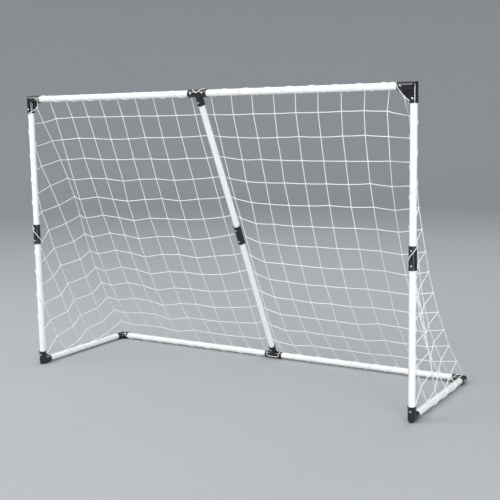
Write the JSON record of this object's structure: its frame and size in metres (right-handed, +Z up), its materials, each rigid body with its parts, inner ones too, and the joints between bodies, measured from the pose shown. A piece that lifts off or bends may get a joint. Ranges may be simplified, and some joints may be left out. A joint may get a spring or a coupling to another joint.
{
  "type": "pop up goal",
  "caption": "Knock-down garden goal of white plastic tubes pushed into black corner fittings, with a slanted middle brace, spring-button locks and a square-mesh net.",
  "frame": {"origin": "on the ground, at the middle of the goal's box", "axes": "+X to the right for someone who looks into the mouth from the front, +Y from the mouth to the rear bar, +Z up"},
  "size_m": [1.834, 0.612, 1.22],
  "materials": {
    "tube_white": "glossy extruded white tube, lightly scuffed",
    "fitting_black": "glossy moulded black plastic",
    "net_white": "knotted white twine",
    "button_steel": "plated spring steel"
  },
  "bodies": {
    "frame": {"crossbar_tube_left": "tube_white", "upright_tube_upper_left": "tube_white", "upright_tube_lower_left": "tube_white", "side_tube_left": "tube_white", "rear_tube_left": "tube_white", "crossbar_tube_right": "tube_white", "upright_tube_upper_right": "tube_white", "upright_tube_lower_right": "tube_white", "side_tube_right": "tube_white", "rear_tube_right": "tube_white", "brace_tube_upper": "tube_white", "brace_tube_lower": "tube_white", "top_corner_left": "fitting_black", "foot_corner_left": "fitting_black", "rear_corner_left": "fitting_black", "upright_coupler_left": "fitting_black", "top_corner_right": "fitting_black", "foot_corner_right": "fitting_black", "rear_corner_right": "fitting_black", "upright_coupler_right": "fitting_black", "top_tee": "fitting_black", "brace_coupler": "fitting_black", "rear_tee": "fitting_black", "net_back": "net_white", "net_side_left": "net_white", "net_side_right": "net_white"},
    "button_crossbar_left_outer": {"snap_button_crossbar_left_outer": "button_steel"},
    "button_crossbar_left_inner": {"snap_button_crossbar_left_inner": "button_steel"},
    "button_upright_upper_left_top": {"snap_button_upright_upper_left_top": "button_steel"},
    "button_upright_upper_left_bottom": {"snap_button_upright_upper_left_bottom": "button_steel"},
    "button_upright_lower_left_top": {"snap_button_upright_lower_left_top": "button_steel"},
    "button_upright_lower_left_bottom": {"snap_button_upright_lower_left_bottom": "button_steel"},
    "button_side_left_front": {"snap_button_side_left_front": "button_steel"},
    "button_side_left_rear": {"snap_button_side_left_rear": "button_steel"},
    "button_rear_left_outer": {"snap_button_rear_left_outer": "button_steel"},
    "button_rear_left_inner": {"snap_button_rear_left_inner": "button_steel"},
    "button_crossbar_right_outer": {"snap_button_crossbar_right_outer": "button_steel"},
    "button_crossbar_right_inner": {"snap_button_crossbar_right_inner": "button_steel"},
    "button_upright_upper_right_top": {"snap_button_upright_upper_right_top": "button_steel"},
    "button_upright_upper_right_bottom": {"snap_button_upright_upper_right_bottom": "button_steel"},
    "button_upright_lower_right_top": {"snap_button_upright_lower_right_top": "button_steel"},
    "button_upright_lower_right_bottom": {"snap_button_upright_lower_right_bottom": "button_steel"},
    "button_side_right_front": {"snap_button_side_right_front": "button_steel"},
    "button_side_right_rear": {"snap_button_side_right_rear": "button_steel"},
    "button_rear_right_outer": {"snap_button_rear_right_outer": "button_steel"},
    "button_rear_right_inner": {"snap_button_rear_right_inner": "button_steel"},
    "button_brace_upper_top": {"snap_button_brace_upper_top": "button_steel"},
    "button_brace_upper_bottom": {"snap_button_brace_upper_bottom": "button_steel"},
    "button_brace_lower_top": {"snap_button_brace_lower_top": "button_steel"},
    "button_brace_lower_bottom": {"snap_button_brace_lower_bottom": "button_steel"}
  },
  "joints": [
    {"name": "press_crossbar_left_outer", "type": "slide", "parent": "frame", "child": "button_crossbar_left_outer", "axis": [0, 1, 0], "range_m": [0, 0.0054], "stiffness_N_per_m": 800, "springref_m": -0.002},
    {"name": "press_crossbar_left_inner", "type": "slide", "parent": "frame", "child": "button_crossbar_left_inner", "axis": [0, 1, 0], "range_m": [0, 0.0054], "stiffness_N_per_m": 800, "springref_m": -0.002},
    {"name": "press_upright_upper_left_top", "type": "slide", "parent": "frame", "child": "button_upright_upper_left_top", "axis": [0, 1, 0], "range_m": [0, 0.0054], "stiffness_N_per_m": 800, "springref_m": -0.002},
    {"name": "press_upright_upper_left_bottom", "type": "slide", "parent": "frame", "child": "button_upright_upper_left_bottom", "axis": [0, 1, 0], "range_m": [0, 0.0054], "stiffness_N_per_m": 800, "springref_m": -0.002},
    {"name": "press_upright_lower_left_top", "type": "slide", "parent": "frame", "child": "button_upright_lower_left_top", "axis": [0, 1, 0], "range_m": [0, 0.0054], "stiffness_N_per_m": 800, "springref_m": -0.002},
    {"name": "press_upright_lower_left_bottom", "type": "slide", "parent": "frame", "child": "button_upright_lower_left_bottom", "axis": [0, 1, 0], "range_m": [0, 0.0054], "stiffness_N_per_m": 800, "springref_m": -0.002},
    {"name": "press_side_left_front", "type": "slide", "parent": "frame", "child": "button_side_left_front", "axis": [1, 0, 0], "range_m": [0, 0.0054], "stiffness_N_per_m": 800, "springref_m": -0.002},
    {"name": "press_side_left_rear", "type": "slide", "parent": "frame", "child": "button_side_left_rear", "axis": [1, 0, 0], "range_m": [0, 0.0054], "stiffness_N_per_m": 800, "springref_m": -0.002},
    {"name": "press_rear_left_outer", "type": "slide", "parent": "frame", "child": "button_rear_left_outer", "axis": [0, 0, -1], "range_m": [0, 0.0054], "stiffness_N_per_m": 800, "springref_m": -0.002},
    {"name": "press_rear_left_inner", "type": "slide", "parent": "frame", "child": "button_rear_left_inner", "axis": [0, 0, -1], "range_m": [0, 0.0054], "stiffness_N_per_m": 800, "springref_m": -0.002},
    {"name": "press_crossbar_right_outer", "type": "slide", "parent": "frame", "child": "button_crossbar_right_outer", "axis": [0, 1, 0], "range_m": [0, 0.0054], "stiffness_N_per_m": 800, "springref_m": -0.002},
    {"name": "press_crossbar_right_inner", "type": "slide", "parent": "frame", "child": "button_crossbar_right_inner", "axis": [0, 1, 0], "range_m": [0, 0.0054], "stiffness_N_per_m": 800, "springref_m": -0.002},
    {"name": "press_upright_upper_right_top", "type": "slide", "parent": "frame", "child": "button_upright_upper_right_top", "axis": [0, 1, 0], "range_m": [0, 0.0054], "stiffness_N_per_m": 800, "springref_m": -0.002},
    {"name": "press_upright_upper_right_bottom", "type": "slide", "parent": "frame", "child": "button_upright_upper_right_bottom", "axis": [0, 1, 0], "range_m": [0, 0.0054], "stiffness_N_per_m": 800, "springref_m": -0.002},
    {"name": "press_upright_lower_right_top", "type": "slide", "parent": "frame", "child": "button_upright_lower_right_top", "axis": [0, 1, 0], "range_m": [0, 0.0054], "stiffness_N_per_m": 800, "springref_m": -0.002},
    {"name": "press_upright_lower_right_bottom", "type": "slide", "parent": "frame", "child": "button_upright_lower_right_bottom", "axis": [0, 1, 0], "range_m": [0, 0.0054], "stiffness_N_per_m": 800, "springref_m": -0.002},
    {"name": "press_side_right_front", "type": "slide", "parent": "frame", "child": "button_side_right_front", "axis": [-1, 0, 0], "range_m": [0, 0.0054], "stiffness_N_per_m": 800, "springref_m": -0.002},
    {"name": "press_side_right_rear", "type": "slide", "parent": "frame", "child": "button_side_right_rear", "axis": [-1, 0, 0], "range_m": [0, 0.0054], "stiffness_N_per_m": 800, "springref_m": -0.002},
    {"name": "press_rear_right_outer", "type": "slide", "parent": "frame", "child": "button_rear_right_outer", "axis": [0, 0, -1], "range_m": [0, 0.0054], "stiffness_N_per_m": 800, "springref_m": -0.002},
    {"name": "press_rear_right_inner", "type": "slide", "parent": "frame", "child": "button_rear_right_inner", "axis": [0, 0, -1], "range_m": [0, 0.0054], "stiffness_N_per_m": 800, "springref_m": -0.002},
    {"name": "press_brace_upper_top", "type": "slide", "parent": "frame", "child": "button_brace_upper_top", "axis": [0, 0.8993, 0.4374], "range_m": [0, 0.0054], "stiffness_N_per_m": 800, "springref_m": -0.002},
    {"name": "press_brace_upper_bottom", "type": "slide", "parent": "frame", "child": "button_brace_upper_bottom", "axis": [0, 0.8993, 0.4374], "range_m": [0, 0.0054], "stiffness_N_per_m": 800, "springref_m": -0.002},
    {"name": "press_brace_lower_top", "type": "slide", "parent": "frame", "child": "button_brace_lower_top", "axis": [0, 0.8993, 0.4374], "range_m": [0, 0.0054], "stiffness_N_per_m": 800, "springref_m": -0.002},
    {"name": "press_brace_lower_bottom", "type": "slide", "parent": "frame", "child": "button_brace_lower_bottom", "axis": [0, 0.8993, 0.4374], "range_m": [0, 0.0054], "stiffness_N_per_m": 800, "springref_m": -0.002}
  ]
}
